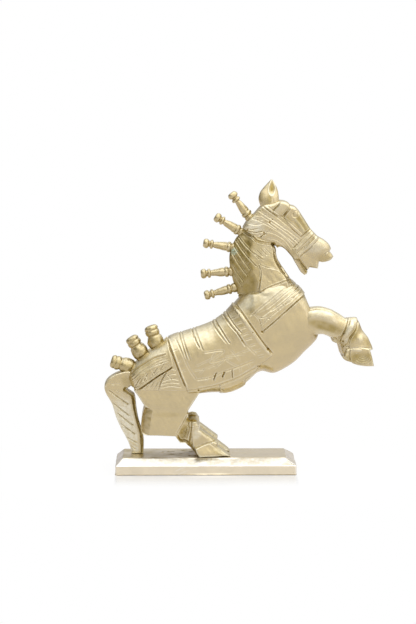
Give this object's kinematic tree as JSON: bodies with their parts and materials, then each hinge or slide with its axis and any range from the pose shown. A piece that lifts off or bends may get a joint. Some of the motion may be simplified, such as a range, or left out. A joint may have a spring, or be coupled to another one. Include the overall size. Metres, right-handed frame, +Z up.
{
  "type": "horse figurine",
  "caption": "Rearing cast metal horse with carved harness, turned mane pegs and a chamfered plinth.",
  "frame": {"origin": "centre of the plinth's flat underside", "axes": "+X towards the horse's head, +Z up, +Y to the horse's left side; -Y faces the viewer"},
  "size_m": [0.2686, 0.067, 0.2918],
  "materials": {
    "cast_metal": "satin champagne gold over cast brass, brown residue in the carving",
    "plinth_metal": "satin champagne gold, slightly paler than the horse",
    "turned_metal": "turned, satin, darker in the grooves",
    "fixing_steel": "plain zinc plated"
  },
  "bodies": {
    "root": {"plinth": "plinth_metal", "hoof_screw_near": "fixing_steel", "hoof_screw_far": "fixing_steel", "tail_screw": "fixing_steel", "torso": "cast_metal", "head": "cast_metal", "lower_jaw": "cast_metal", "neck": "cast_metal", "ear_near": "cast_metal", "ear_far": "cast_metal", "foreleg_near": "cast_metal", "foreleg_far": "cast_metal", "hind_leg_near": "cast_metal", "hind_leg_far": "cast_metal", "tail": "cast_metal", "mane_peg_1": "turned_metal", "mane_peg_2": "turned_metal", "mane_peg_3": "turned_metal", "mane_peg_4": "turned_metal", "mane_peg_5": "turned_metal", "rump_peg_1": "turned_metal", "rump_peg_2": "turned_metal", "rump_peg_3": "turned_metal", "neck_pin": "fixing_steel", "head_pin": "fixing_steel", "tail_pin": "fixing_steel", "foreleg_pin_near": "fixing_steel", "foreleg_pin_far": "fixing_steel", "hind_leg_pin_near": "fixing_steel", "hind_leg_pin_far": "fixing_steel"}
  },
  "joints": []
}
